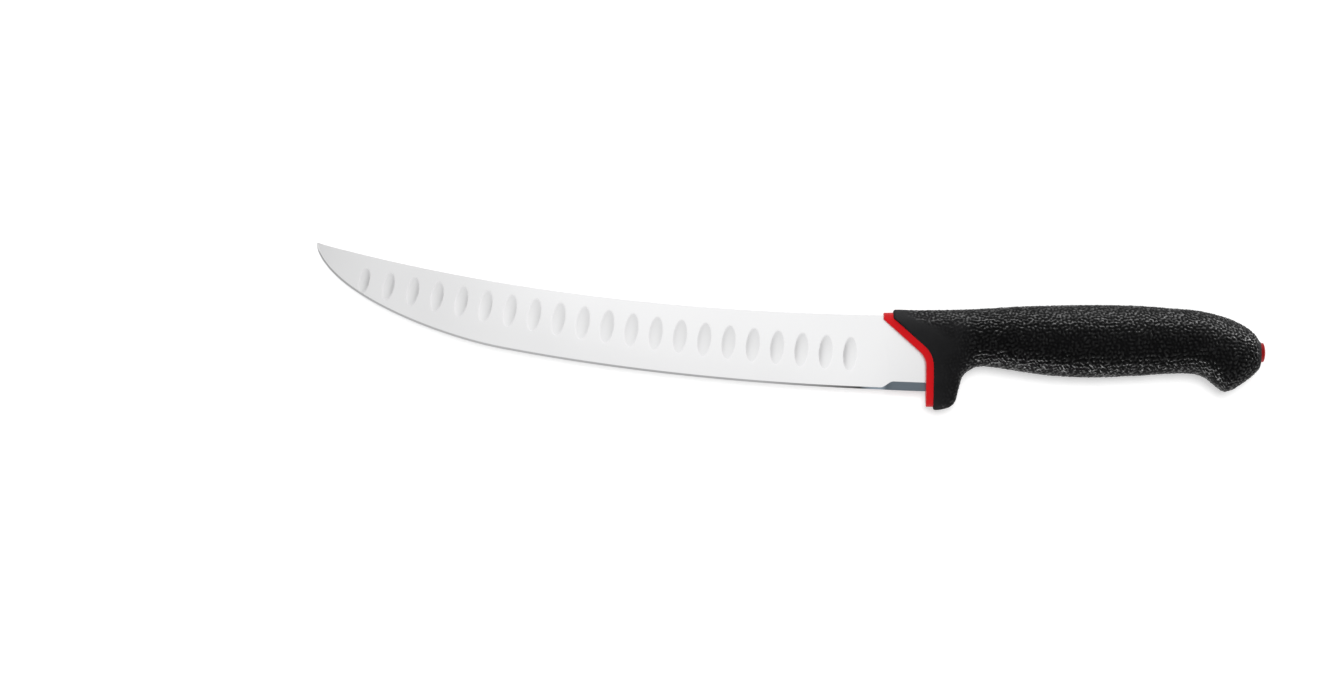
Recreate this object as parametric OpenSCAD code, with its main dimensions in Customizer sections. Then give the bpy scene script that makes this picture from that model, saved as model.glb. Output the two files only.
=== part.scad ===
// Carving knife with a curved, scalloped blade and a two-shot moulded handle: a hard core
// moulded round the tang, and a soft grip moulded over the core.
// The pieces are drawn with the blade pointing to -X, the spine to +Y and the flats to +Z and -Z,
// with x = 0 where the blade's heel enters the collar and y = 0 on the axis of the grip.

/* [Blade] */
// Length of the blade from its tip to the collar
blade_length = 250; // [225:1:275]
// Height of the tip above the axis of the grip
tip_rise = 40.5; // [36:0.1:44]
// Height of the spine above the axis of the grip, where the blade enters the collar
spine_height = 10.6; // [10:0.1:11.3]
// Depth of the edge below the axis of the grip, at the heel
heel_depth = 19.9; // [18.5:0.1:21]
// Length of the belly, where the edge sweeps up to the tip
belly_length = 76; // [66:1:86]
// Depth of the edge below the axis of the grip, where the belly begins
belly_depth = 3.2; // [1:0.1:5]
// Thickness of the steel at the heel
steel_thickness = 2.6; // [2.2:0.1:3.2]
// Thickness of the spine at the tip
tip_thickness = 1.4; // [1.1:0.1:1.8]
// Width of the eased corners along the spine
spine_easing = 0.3; // [0.15:0.05:0.4]
// Thickness of the ground blade where the cutting bevel begins
bevel_thickness = 0.5; // [0.4:0.05:0.7]
// Height of the cutting bevel
bevel_height = 0.9; // [0.6:0.1:1.4]
// Thickness left at the cutting edge
edge_land = 0.1; // [0.06:0.02:0.16]
// Length of the unsharpened heel in front of the collar
heel_length = 18.6; // [15:0.1:22]
// Length over which the chamfer under the heel begins
runout_length = 5.4; // [4:0.1:7]
// Length in front of the heel over which the blade thickens behind its edge
grind_runout = 50; // [40:1:60]
// Height of the chamfer along the underside of the heel
heel_chamfer = 3.6; // [2.5:0.1:4.5]
// Thickness left under the heel chamfer
heel_land = 1.2; // [0.8:0.1:1.6]

/* [Scallops] */
// Number of scallops on each side
scallop_count = 21; // [17:1:22]
// Spacing of the scallops along the blade
scallop_pitch = 9.96; // [8.8:0.02:10.2]
// Distance from the collar to the nearest scallop
scallop_start = 31; // [30:0.5:33]
// Length of a full scallop across the blade
scallop_length = 14.2; // [12:0.1:16]
// Width of a full scallop along the blade
scallop_width = 5.6; // [4.6:0.1:6.4]
// Depth of a full scallop
scallop_depth = 0.3; // [0.2:0.02:0.34]
// Height of the scallop nearest the tip above the axis of the grip
scallop_rise = 24.7; // [23.5:0.1:25.5]
// Depth of the scallop nearest the collar below the axis of the grip
scallop_drop = 5.4; // [4:0.1:6.4]

/* [Tang] */
// Length of the tang behind the collar's front
tang_length = 96; // [80:1:110]
// Height of the tang's upper side above the axis at its root
tang_rise = 7.5; // [6:0.5:8.5]
// Depth of the tang's lower side below the axis, behind the finger rest
tang_drop = 5; // [3.5:0.5:5.5]
// How much each side of the tang tapers in towards its end
tang_taper = 2; // [0:0.5:3]
// Thickness of the tang, which is ground thinner than the heel
tang_thickness = 2.4; // [1.8:0.1:2.5]
// Diameter of the holes that key the tang into the core
tang_hole = 5; // [4:0.5:6]

/* [Collar and core] */
// Thickness of the collar in front of the soft grip
collar_thickness = 2.9; // [2.2:0.1:3.6]
// Angle between the collar's sloping and upright parts
collar_rake = 48; // [40:1:50]
// Height below the axis where the collar's two straight parts would meet
collar_corner = 6.8; // [4:0.1:8]
// Radius that blends the collar's two straight parts
collar_radius = 8; // [6:0.5:10]
// How far in front of the upright part the collar's tip is cut square
collar_nose = 17.3; // [16:0.1:18]
// How far in front of the upright part the soft grip starts behind the tip
grip_nose = 13.4; // [12.6:0.1:14]
// Rounding of the collar's front edge
collar_edge = 0.3; // [0.2:0.1:0.6]
// How far the collar lies inside the surface of the soft grip
collar_inset = 1.3; // [1:0.1:2]
// Thickness of the soft material over the core's body
soft_wall = 3; // [2.4:0.1:3.4]
// Radius of the windows that lock the soft grip to the core
window_radius = 2.2; // [1.6:0.1:2.6]
// Diameter of the tail button
button_diameter = 8; // [6:0.2:8.4]
// Height of the tail button outside the grip
button_height = 2; // [1.6:0.1:2.6]
// Height of the tail button's dome
button_dome = 0.8; // [0.6:0.1:1.5]

/* [Grip] */
// Length of the grip from the collar's front to its butt
grip_length = 137.2; // [128:0.5:146]
// Height of the grip's back above its axis at the collar
front_rise = 12.9; // [12.5:0.1:13.5]
// Height of the palm swell above the axis
palm_rise = 14.9; // [13.8:0.1:15.8]
// Depth of the palm swell below the axis
palm_drop = 15.2; // [14:0.1:15.8]
// Depth of the finger rest below the axis
finger_drop = 10.7; // [10:0.1:11.5]
// Depth of the finger guard below the axis
guard_drop = 28.4; // [26:0.1:30]
// Depth of the waist in front of the hook
waist_drop = 13.6; // [12.8:0.1:14.3]
// Depth of the butt's hook below the axis
hook_drop = 20.9; // [19:0.1:22]
// Thickness of the grip at the guard
guard_width = 17; // [15:0.5:19]
// Thickness of the grip at the palm swell
palm_width = 25.6; // [23:0.2:28]
// Thickness of the grip at the hook
hook_width = 24; // [21:0.2:26]
// Depth of the tail button's centre below the axis
butt_drop = 4.8; // [4.2:0.1:5.2]

/* [Hidden] */
$fn = 96;
// Steel, hard core and soft grip, as the object shows them
steel_colour = [0.88, 0.89, 0.90];
core_colour = [0.83, 0.05, 0.06];
grip_colour = [0.07, 0.07, 0.075];
belly_steps = 22;
edge_steps = 20;
side_points = 24;
steps_per_station = 2;
tip_start = 0.02;

function mix(a, b, t) = a + (b - a) * t;
function smooth(t) = t * t * (3 - 2 * t);
function clamp(t) = min(1, max(0, t));
function cubic(a, b, c, d, t) =
    pow(1 - t, 3) * a + 3 * pow(1 - t, 2) * t * b + 3 * (1 - t) * t * t * c + pow(t, 3) * d;

// A spline through b and c, with a and d as the points before and after them.
function through(a, b, c, d, t) =
    0.5 * (2 * b + (c - a) * t + (2 * a - 5 * b + 4 * c - d) * t * t + (3 * b - a - 3 * c + d) * pow(t, 3));

// Skins a list of rings. Point j of a ring lies opposite point n - 1 - j, across the mid-plane.
// The first rings may run back inside the later ones, like the lining of a cup. Their facets are
// split along the other diagonal, so that a lining matches a piece that fills it.
module loft(rings, lining = 0) {
    n = len(rings[0]);
    last = (len(rings) - 1) * n;
    sides = [
        for (i = [0:len(rings) - 2], j = [0:n - 1])
            let (a = i * n + j, b = i * n + (j + 1) % n)
            each i < lining ? [[a, a + n, b], [b, a + n, b + n]] : [[a, a + n, b + n], [a, b + n, b]]
    ];
    ends = [
        for (j = [0:n / 2 - 2])
            each [
                [j, j + 1, n - 2 - j, n - 1 - j],
                [last + n - 1 - j, last + n - 2 - j, last + j + 1, last + j]
            ]
    ];
    polyhedron([for (r = rings) each r], concat(sides, ends), convexity = 8);
}

module slab(thickness) {
    linear_extrude(height = thickness, center = true)
        children();
}

// The blade's outline. The spine and the main edge are cubics in x.
edge_start = -blade_length + belly_length;
edge_slope = -0.19;
function along(x, from, to) = (x - from) / (to - from);
function spine_y(x) =
    let (t = along(x, -blade_length, -heel_length))
    x >= -heel_length ? spine_height
    : cubic(tip_rise, spine_height + 9, spine_height + 1.4, spine_height, t);
function main_edge_y(x) =
    let (run = -heel_length - edge_start, t = along(x, edge_start, -heel_length))
    cubic(-belly_depth, -belly_depth + edge_slope * run / 3, -heel_depth + 1.9, -heel_depth, t);
function belly_point(t) = [
    cubic(-blade_length, -blade_length + 3, edge_start - 25, edge_start, t),
    cubic(tip_rise, tip_rise - 21, -belly_depth - edge_slope * 25, -belly_depth, t)
];

// Stations along the blade: x, height of the edge, height of the bevel, and half-thicknesses.
runout_end = -heel_length + runout_length;
tang_entry = collar_thickness;
tip_taper = 12;
tip_share = 0.45;
function spine_half(x) =
    mix(tip_share, 1, smooth(clamp(along(x, -blade_length, -blade_length + tip_taper))))
    * mix(tip_thickness, steel_thickness, clamp(along(x, -blade_length, -heel_length))) / 2;
function bevel_half(x) = mix(
    min(bevel_thickness / 2, spine_half(x) * 0.6), spine_half(x),
    smooth(clamp(along(x, -heel_length - grind_runout, runout_end)))
);
function station(x, y, s) = let (top = spine_y(x), tall = top - spine_easing - y) [
    x, y,
    y + min(mix(bevel_height, heel_chamfer, s), tall * 0.45),
    bevel_half(x),
    mix(edge_land, heel_land, s) / 2
];
heel_steps = 4;
stations = concat(
    [
        for (i = [0:belly_steps])
            let (p = belly_point(mix(tip_start, 1, i / belly_steps)))
            station(p[0], p[1], 0)
    ],
    [
        for (i = [1:edge_steps])
            let (x = mix(edge_start, -heel_length, i / edge_steps))
            station(x, main_edge_y(x), 0)
    ],
    [
        for (k = [1 / heel_steps:1 / heel_steps:1])
            station(mix(-heel_length, runout_end, k), -heel_depth - 0.3 * k, k)
    ],
    [station(tang_entry, -heel_depth - 0.9, 1)]
);
function blade_ring(s) = let (top = spine_y(s[0]), t = spine_half(s[0]), half = [
    [top, t - spine_easing], [top - spine_easing, t], [s[2], s[3]], [s[1], s[4]]
]) concat(
    [for (p = half) [s[0], p[0], p[1]]],
    [for (i = [3:-1:0]) [s[0], half[i][0], -half[i][1]]]
);

// The wheel that grinds a scallop has the radius and rim that give its length and width at its depth.
function wheel(chord, depth) = (chord * chord / 4 + depth * depth) / (2 * depth);
wheel_radius = wheel(scallop_length, scallop_depth);
rim_radius = wheel(scallop_width, scallop_depth);
wheel_arc = 20;
scallop_facets = 288;
row_length = scallop_pitch * (scallop_count - 1);
function row_y(x) =
    let (t = along(x, -scallop_start - row_length, -scallop_start))
    cubic(scallop_rise, scallop_rise - 15.4, -scallop_drop + 5.3, -scallop_drop, t);
function row_slope(x) = atan((row_y(x + 1) - row_y(x - 1)) / 2);
function edge_y(x) = x < edge_start ? lookup(x, [for (i = [0:24]) belly_point(i / 24)]) : main_edge_y(x);
function face_tilt(x) =
    atan((spine_half(x) - bevel_half(x)) / (spine_y(x) - spine_easing - edge_y(x) - bevel_height));
function face_half(x, y) = spine_half(x) - (spine_y(x) - spine_easing - y) * tan(face_tilt(x));

module scallop(x) {
    depth = min(scallop_depth, 0.42 * face_half(x, row_y(x)));
    translate([x, row_y(x), face_half(x, row_y(x)) - depth])
        rotate([0, 0, row_slope(x)])
            rotate([-face_tilt(x), 0, 0])
                translate([0, 0, wheel_radius])
                    rotate([0, 90, 0])
                        rotate([0, 0, -wheel_arc / 2])
                            rotate_extrude(angle = wheel_arc, $fn = scallop_facets)
                                translate([wheel_radius - rim_radius, 0])
                                    circle(r = rim_radius, $fn = scallop_facets);
}

module scallop_row(shift) {
    for (i = [0:scallop_count - 1])
        scallop(-scallop_start - i * scallop_pitch - shift);
}

tang_root = collar_thickness + 4;
tang_holes = [tang_length * 0.34, tang_length * 0.74];
module tang() {
    slab(tang_thickness)
        difference() {
            polygon([
                [-8, -heel_depth + heel_chamfer + 2], [-8, spine_height - 2.5], [-2, spine_height - 2.5],
                [tang_root, tang_rise], [tang_length - 3, tang_rise - tang_taper],
                [tang_length, tang_rise - tang_taper - 3], [tang_length, tang_taper - tang_drop + 3],
                [tang_length - 3, tang_taper - tang_drop], [tang_root + 5, -tang_drop],
                [tang_root, -heel_depth + heel_chamfer + 2]
            ]);
            for (x = tang_holes)
                translate([x, (tang_rise - tang_drop) / 2])
                    circle(d = tang_hole);
        }
}

// The part of the XY plane in front of the collar's front face. A cut that reaches this far goes
// right through the knife.
reach = guard_drop + tip_rise;
module ahead_of_collar() {
    face = [for (p = collar_face) if (p[2] > 0) [p[0], p[1]]];
    foot = face[len(face) - 1];
    polygon(concat(
        face,
        [[foot[0], -reach], [-reach * 5, -reach], [-reach * 5, reach], [face[0][0], reach]]
    ));
}

module blade() {
    color(steel_colour) {
        difference() {
            intersection() {
                loft([for (s = stations) blade_ring(s)]);
                slab(reach)
                    ahead_of_collar();
            }
            scallop_row(0);
            mirror([0, 0, 1])
                scallop_row(-scallop_pitch / 2);
        }
        tang();
    }
}

// The grip's outline as stations from the collar to the butt: a point on the back, the point
// below it, and the width there. The stations behind the finger rest move with the grip's length.
rest_end = 26;
function behind(x) = rest_end + (x - rest_end) * (grip_length - rest_end) / (137.2 - rest_end);
guard_half = guard_width / 2;
palm_half = palm_width / 2;
hook_half = hook_width / 2;
grip_stations = [
    [-grip_nose, front_rise, collar_thickness, -guard_drop, guard_half],
    [-grip_nose + 3.2, front_rise, 5.3, -guard_drop, guard_half + 0.1],
    [-6.8, front_rise - 0.1, 7.9, -guard_drop + 0.5, guard_half + 0.3],
    [-3.4, front_rise - 0.1, 10.1, -guard_drop + 1.6, guard_half + 0.5],
    [0, front_rise - 0.1, 11.4, -guard_drop + 3.8, guard_half + 0.7],
    [4, front_rise - 0.1, 12, -guard_drop + 7, guard_half + 0.9],
    [7.5, front_rise, 13, -finger_drop - 7.2, guard_half + 1.1],
    [11, front_rise, 14.5, -finger_drop - 4, guard_half + 1.3],
    [15, front_rise + 0.1, 17.4, -finger_drop - 1.7, guard_half + 1.5],
    [19.5, front_rise + 0.3, 21, -finger_drop - 0.2, guard_half + 1.9],
    [25.5, front_rise + 0.6, rest_end, -finger_drop - 0.1, palm_half - 2.1],
    [behind(35), palm_rise - 0.8, behind(36), -palm_drop + 2.9, palm_half - 1.3],
    [behind(50), palm_rise - 0.3, behind(50), -palm_drop + 0.9, palm_half - 0.4],
    [behind(68), palm_rise, behind(68), -palm_drop, palm_half],
    [behind(86), palm_rise - 0.3, behind(86), -palm_drop + 0.7, palm_half - 0.2],
    [behind(100), palm_rise - 1.3, behind(101), -waist_drop, hook_half + 0.2],
    [behind(109), palm_rise - 2, behind(109), -waist_drop - 0.1, hook_half],
    [behind(115), palm_rise - 3, behind(114), -waist_drop - 1.6, hook_half],
    [behind(119.5), palm_rise - 4.1, behind(118), -hook_drop + 2.7, hook_half],
    [behind(123.5), palm_rise - 5.3, behind(121.8), -hook_drop, hook_half - 0.1],
    [behind(127.5), palm_rise - 7, behind(125.4), -hook_drop + 0.6, hook_half - 0.6],
    [behind(131.5), palm_rise - 9.2, behind(129.8), -hook_drop + 3.3, hook_half - 1.6],
    [behind(134.8), palm_rise - 11.9, behind(134), -hook_drop + 6.5, hook_half - 3.4],
    [behind(136.5), -butt_drop + 5.1, behind(136.5), -butt_drop - 6.9, hook_half - 5.4],
    [grip_length, -butt_drop + 4.4, grip_length, -butt_drop - 4.7, button_diameter / 2 + 0.5]
];
last_station = len(grip_stations) - 1;
function grip_station(u) =
    let (i = min(floor(u), last_station - 1), s = grip_stations)
    through(s[max(i - 1, 0)], s[i], s[i + 1], s[min(i + 2, last_station)], u - i);

// The collar's line seen from the side, moved back by a distance: upright, an arc, a slope, and
// upright again at its tip.
function collar_x(y, back) = let (
    r = collar_radius + back,
    rise = y + collar_corner + collar_radius * tan(collar_rake / 2),
    slope = r * cos(collar_rake) - collar_radius - (rise - r * sin(collar_rake)) * tan(collar_rake)
) rise < 0 ? back
    : rise < r * sin(collar_rake) ? sqrt(r * r - rise * rise) - collar_radius
    : max(slope, -mix(collar_nose, grip_nose, back / collar_thickness));

// An upright oval section from the station's upper point to its lower one, slimmer below.
section_power = 2.3;
function oval(s, slim) = let (half = [
    for (j = [0:side_points - 1])
        let (angle = (j + 0.5) * 180 / side_points, t = (1 - cos(angle)) / 2)
        [
            mix(s[0], s[2], t),
            mix(s[1], s[3], t),
            s[4] * (1 - slim * t) * pow(1 - pow(abs(cos(angle)), section_power), 1 / section_power)
        ]
]) concat(half, [for (j = [side_points - 1:-1:0]) [half[j][0], half[j][1], -half[j][2]]]);

// How squarely the ring at station u meets the outline at its upper end (0) or lower end (2).
function squareness(u, end) = let (
    g = grip_station(u),
    a = grip_station(max(u - 0.2, 0)),
    b = grip_station(min(u + 0.2, last_station)),
    outline = [b[end] - a[end], b[end + 1] - a[end + 1]],
    ring = [g[0] - g[2], g[1] - g[3]]
) max(0.35, abs(cross(outline, ring)) / (norm(outline) * norm(ring)));

// A ring of the grip at station u, drawn in by an inset all round. The rings next to the collar
// bow to follow its line. The guard is slimmer below.
guard_slimming = 0.3;
bow_end = 9;
function grip_ring(u, inset) = let (
    g = grip_station(u),
    tall = norm([g[0] - g[2], g[1] - g[3]]),
    start = inset / squareness(u, 0) / tall,
    finish = 1 - inset / squareness(u, 2) / tall,
    drawn = [
        mix(g[0], g[2], start), mix(g[1], g[3], start),
        mix(g[0], g[2], finish), mix(g[1], g[3], finish),
        g[4] - inset
    ],
    slim = guard_slimming * (1 - smooth(clamp((u - 3) / 7))),
    bow = 1 - smooth(clamp(u / bow_end))
) [
    for (p = oval(drawn, slim))
        let (chord = mix(collar_thickness, -grip_nose, along(p[1], -guard_drop, front_rise)))
        [p[0] + bow * (collar_x(p[1], collar_thickness) - chord), p[1], p[2]]
];

// A ring of the collar at a distance behind its front face.
function collar_ring(back, inset) = [
    for (p = grip_ring(0, collar_inset + inset)) [collar_x(p[1], back), p[1], p[2]]
];
collar_face = collar_ring(0, collar_edge);

// The core's body follows the grip's form, one soft wall inside it, up to a flange for the button.
core_end = behind(133);
core_last = 20;
core_rings = concat(
    [for (u = [0:core_last]) grip_ring(u, soft_wall)],
    [oval([core_end, -butt_drop + 4.6, core_end, -butt_drop - 5.5, button_diameter / 2 + 2], 0)]
);
windows = [[mix(tang_length, core_end, 0.3), 0], [behind(119), -butt_drop - 4]];
module window_pins(height) {
    for (w = windows)
        translate([w[0], w[1], -height / 2])
            cylinder(r = window_radius, h = height);
}

module button_form() {
    radius = button_diameter / 2;
    dome_radius = (radius * radius + button_dome * button_dome) / (2 * button_dome);
    translate([0, -butt_drop, 0])
        rotate([0, 90, 0])
            rotate_extrude()
                intersection() {
                    translate([0, core_end - 2])
                        square([radius, grip_length + button_height - core_end + 2]);
                    translate([0, grip_length + button_height - dome_radius])
                        circle(r = dome_radius, $fn = 180);
                }
}

module handle_core() {
    color(core_colour)
        difference() {
            union() {
                loft(concat(
                    [collar_face, collar_ring(collar_edge, 0), grip_ring(0, collar_inset)],
                    core_rings
                ));
                button_form();
            }
            tang();
            window_pins(reach);
        }
}

// The grip is one skin that runs from the inside of its butt forwards to the collar, over its
// rounded front edge, and back along the outside.
edge_run = 0.42;
module grip() {
    rings = concat(
        [for (i = [len(core_rings) - 1:-1:0]) core_rings[i]],
        [for (a = [0:22.5:90]) grip_ring(edge_run * (1 - cos(a)), collar_inset * (1 - sin(a)))],
        [for (k = [steps_per_station:last_station * steps_per_station]) grip_ring(k / steps_per_station, 0)]
    );
    color(grip_colour)
        difference() {
            union() {
                loft(rings, len(core_rings));
                window_pins(hook_width - soft_wall);
            }
            translate([core_end - 1, -butt_drop, 0])
                rotate([0, 90, 0])
                    cylinder(d = button_diameter, h = grip_length - core_end + 2);
        }
}

// The whole knife is centred on its length and height, and rests on the side of its grip.
centre_x = (blade_length - grip_length - button_height) / 2;
centre_y = (guard_drop - tip_rise) / 2;
translate([centre_x, centre_y, palm_half]) blade();
translate([centre_x, centre_y, palm_half]) handle_core();
translate([centre_x, centre_y, palm_half]) grip();
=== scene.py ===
"""A carving knife with a scalloped blade and a two-shot handle, lying on its side on a pale table.

Geometry is worked out in millimetres in the drawing's frame: x = 0 where the heel enters the
collar, y = 0 on the axis of the grip, z = 0 in the middle of the blade's thickness.
"""
import math

import bpy
import numpy as np
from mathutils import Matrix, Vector


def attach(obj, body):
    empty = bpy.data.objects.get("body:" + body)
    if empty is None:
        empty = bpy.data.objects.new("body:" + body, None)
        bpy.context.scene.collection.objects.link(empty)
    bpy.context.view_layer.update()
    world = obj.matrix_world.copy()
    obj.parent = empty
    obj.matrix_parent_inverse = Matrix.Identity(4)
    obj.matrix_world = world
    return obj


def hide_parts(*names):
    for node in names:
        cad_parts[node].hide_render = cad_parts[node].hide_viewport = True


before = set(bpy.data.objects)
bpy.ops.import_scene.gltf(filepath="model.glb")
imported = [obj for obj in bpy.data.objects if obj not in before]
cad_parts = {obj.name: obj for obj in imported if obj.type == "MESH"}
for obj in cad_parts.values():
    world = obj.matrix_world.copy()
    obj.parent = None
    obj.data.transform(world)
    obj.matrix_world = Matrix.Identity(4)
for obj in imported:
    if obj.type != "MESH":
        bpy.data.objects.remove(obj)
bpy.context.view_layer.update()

bl_info = {
    "name": "Carving Knife",
    "version": (1, 0, 0),
    "blender": (4, 5, 0),
    "location": "View3D > Sidebar > Knife",
    "description": "Builds a carving knife with a scalloped blade and a soft grained grip",
    "category": "Add Mesh",
}

MM = 0.001


def length(name, millimetres, description):
    """A length property that shows in scene units and defaults to a size in millimetres."""
    return bpy.props.FloatProperty(name=name, default=millimetres * MM, unit="LENGTH", precision=4,
                                   description=description)


def colour(name, rgb, description):
    """A colour property."""
    return bpy.props.FloatVectorProperty(name=name, default=rgb, size=3, subtype="COLOR", min=0, max=1,
                                         description=description)


class KnifeBlade(bpy.types.PropertyGroup):
    """Sizes and finish of the steel blade."""
    length: length("Length", 250, "From the tip to the collar")
    tip_rise: length("Tip rise", 40.5, "Height of the tip above the axis of the grip")
    spine_height: length("Spine height", 10.6, "Height of the spine at the collar")
    heel_depth: length("Heel depth", 19.9, "Depth of the edge below the axis at the heel")
    belly_length: length("Belly length", 76, "Length over which the edge sweeps up to the tip")
    belly_depth: length("Belly depth", 3.2, "Depth of the edge where the belly begins")
    steel: length("Steel", 2.6, "Thickness at the heel")
    tip_steel: length("Tip steel", 1.4, "Thickness of the spine at the tip")
    easing: length("Easing", 0.3, "Width of the eased corners along the spine")
    bevel_steel: length("Bevel steel", 0.5, "Thickness where the cutting bevel begins")
    bevel_height: length("Bevel height", 0.9, "Height of the cutting bevel")
    edge_land: length("Edge land", 0.1, "Thickness left at the edge")
    heel_length: length("Heel length", 18.6, "Length of the unsharpened heel")
    runout: length("Runout", 5.4, "Length over which the chamfer under the heel begins")
    grind_runout: length("Grind runout", 50, "Length over which the blade thickens behind its edge")
    heel_chamfer: length("Heel chamfer", 3.6, "Height of the chamfer under the heel")
    heel_land: length("Heel land", 1.2, "Thickness left under the heel chamfer")
    scallops: bpy.props.IntProperty(name="Scallops", default=21, min=1, max=22,
                                    description="Number of scallops on each side")
    pitch: length("Pitch", 9.96, "Spacing of the scallops")
    scallop_start: length("Scallop start", 31, "From the collar to the nearest scallop")
    scallop_length: length("Scallop length", 14.2, "Length of a full scallop across the blade")
    scallop_width: length("Scallop width", 5.6, "Width of a full scallop along the blade")
    scallop_depth: length("Scallop depth", 0.3, "Depth of a full scallop")
    scallop_rise: length("Scallop rise", 24.7, "Height of the scallop nearest the tip")
    scallop_drop: length("Scallop drop", 5.4, "Depth below the axis of the scallop nearest the collar")
    colour: colour("Steel colour", (0.90, 0.90, 0.905), "Colour of the ground steel")
    # the heel chamfer's colour is a painted dark reflection on its steel
    chamfer_colour: colour("Chamfer colour", (0.22, 0.262, 0.305), "Colour of the unpolished heel chamfer")


class KnifeHandle(bpy.types.PropertyGroup):
    """Sizes and finishes of the hard core and the soft grip."""
    collar: length("Collar", 2.9, "Thickness of the collar in front of the soft grip")
    corner: length("Corner", 6.8, "Depth below the axis where the collar's straight parts would meet")
    radius: length("Radius", 8, "Radius that blends the collar's straight parts")
    nose: length("Nose", 17.3, "How far in front of its upright part the collar's tip is cut square")
    grip_nose: length("Grip nose", 13.4, "How far in front of the upright part the soft grip starts")
    collar_inset: length("Collar inset", 1.3, "How far the collar lies inside the grip's surface")
    rake: bpy.props.FloatProperty(name="Rake", default=math.radians(48), subtype="ANGLE",
                                  description="Angle between the collar's sloping and upright parts")
    button: length("Button", 8, "Diameter of the tail button")
    button_height: length("Button height", 2, "Height of the tail button outside the grip")
    button_dome: length("Button dome", 0.8, "Height of the tail button's dome")
    grip_length: length("Grip length", 137.2, "From the collar's front to the butt")
    front_rise: length("Front rise", 12.9, "Height of the grip's back at the collar")
    palm_rise: length("Palm rise", 14.9, "Height of the palm swell above the axis")
    palm_drop: length("Palm drop", 15.2, "Depth of the palm swell below the axis")
    finger_drop: length("Finger drop", 10.7, "Depth of the finger rest below the axis")
    guard_drop: length("Guard drop", 28.4, "Depth of the finger guard below the axis")
    waist_drop: length("Waist drop", 13.6, "Depth of the waist in front of the hook")
    hook_drop: length("Hook drop", 20.9, "Depth of the hook below the axis")
    guard_width: length("Guard width", 17, "Thickness of the grip at the guard")
    palm_width: length("Palm width", 25.6, "Thickness of the grip at the palm swell")
    hook_width: length("Hook width", 24, "Thickness of the grip at the hook")
    butt_drop: length("Butt drop", 4.8, "Depth of the tail button's centre below the axis")
    grain: length("Grain", 1.35, "Size of the pebbles of the grip's grain")
    grain_depth: length("Grain depth", 0.42, "Depth of the grip's grain")
    core_colour: colour("Core colour", (0.66, 0.006, 0.010), "Colour of the hard core")
    grip_colour: colour("Grip colour", (0.0045, 0.0045, 0.0047), "Colour of the soft grip")


class KnifeStudio(bpy.types.PropertyGroup):
    """The camera, the table and the lamps."""
    frame_width: length("Frame width", 541.2, "Width of the picture at the knife")
    camera_x: length("Camera x", -108.9, "Where the camera looks, along the knife")
    camera_y: length("Camera y", 1.6, "Where the camera looks, across the knife")
    lens: bpy.props.FloatProperty(name="Lens", default=110, unit="CAMERA", description="Focal length")
    table_colour: colour("Table colour", (0.80, 0.80, 0.80), "Colour of the table")
    table_glow: bpy.props.FloatProperty(name="Table glow", default=0.42, min=0, max=1,
                                        description="How much the table glows, so that it reads as white")
    key: bpy.props.FloatProperty(name="Key lamp", default=1.8, min=0,
                                 description="Strength of the lamp that throws the knife's shadow")
    panel_power: bpy.props.FloatProperty(name="Panel", default=0.1906, unit="POWER",
                                         description="Power of the panel above the blade")
    panel_core: bpy.props.FloatProperty(name="Panel core", default=0.0508, unit="POWER",
                                        description="Power of the brighter middle of the panel")
    ceiling_power: bpy.props.FloatProperty(name="Ceiling", default=2.0, unit="POWER",
                                           description="Power of the wide panel behind the first one")
    card_power: bpy.props.FloatProperty(name="Card", default=4.9, unit="POWER",
                                        description="Power of the low lamp before the grip")
    end_power: bpy.props.FloatProperty(name="End card", default=6.0, unit="POWER",
                                       description="Power of the low lamp beyond the butt")
    softbox_power: bpy.props.FloatProperty(name="Softbox", default=14.8, unit="POWER",
                                           description="Power of the softbox behind the knife's back")


def sizes(group):
    """The group's lengths in millimetres, and its other values as they are."""
    values = {}
    for prop in group.bl_rna.properties:
        if prop.identifier in ("rna_type", "name"):
            continue
        value = getattr(group, prop.identifier)
        if prop.type == "FLOAT" and prop.unit == "LENGTH" and not prop.is_array:
            value = value / MM
        values[prop.identifier] = value
    return type("Sizes", (), values)


def mix(a, b, t):
    """From a, where t is 0, to b, where it is 1."""
    return a + (b - a) * t


def clamp(t):
    return min(1.0, max(0.0, t))


def smooth(t):
    """Eases in and out of a rise from 0 to 1."""
    return t * t * (3 - 2 * t)


def cubic(a, b, c, d, t):
    """A curve from a to d by way of the handles b and c."""
    return (1 - t) ** 3 * a + 3 * (1 - t) ** 2 * t * b + 3 * (1 - t) * t * t * c + t ** 3 * d


def row_offset(blade, handle):
    """From the drawing's frame to the row's, in millimetres."""
    return np.array([
        (blade.length - handle.grip_length - handle.button_height) / 2,
        (handle.guard_drop - blade.tip_rise) / 2,
        handle.palm_width / 2,
    ])


def skin(rings):
    """Quads between closed rings of points, with both ends capped."""
    count, around = rings.shape[:2]
    index = np.arange(count * around).reshape(count, around)
    here, there = index[:-1], index[1:]
    quads = np.stack([here, np.roll(here, -1, 1), np.roll(there, -1, 1), there], -1).reshape(-1, 4)
    half = around // 2
    caps = [[index[0, around - 1 - j], index[0, around - 2 - j], index[0, j + 1], index[0, j]]
            for j in range(half - 1)]
    caps += [[index[-1, j], index[-1, j + 1], index[-1, around - 2 - j], index[-1, around - 1 - j]]
             for j in range(half - 1)]
    return rings.reshape(-1, 3), quads.tolist() + caps


def make_piece(name, points, faces, materials, node, offset):
    """A smooth-shaded piece of the knife that stands for a node of the frame."""
    mesh = bpy.data.meshes.new(name)
    mesh.from_pydata(((points + offset) * MM).tolist(), [], faces)
    if mesh.validate():
        raise RuntimeError(f"The mesh of {name} has faulty faces")
    for material in materials:
        mesh.materials.append(material)
    piece = bpy.data.objects.new(name, mesh)
    bpy.context.scene.collection.objects.link(piece)
    mesh.shade_smooth()
    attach(piece, "root")
    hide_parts(node)
    return piece


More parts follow.
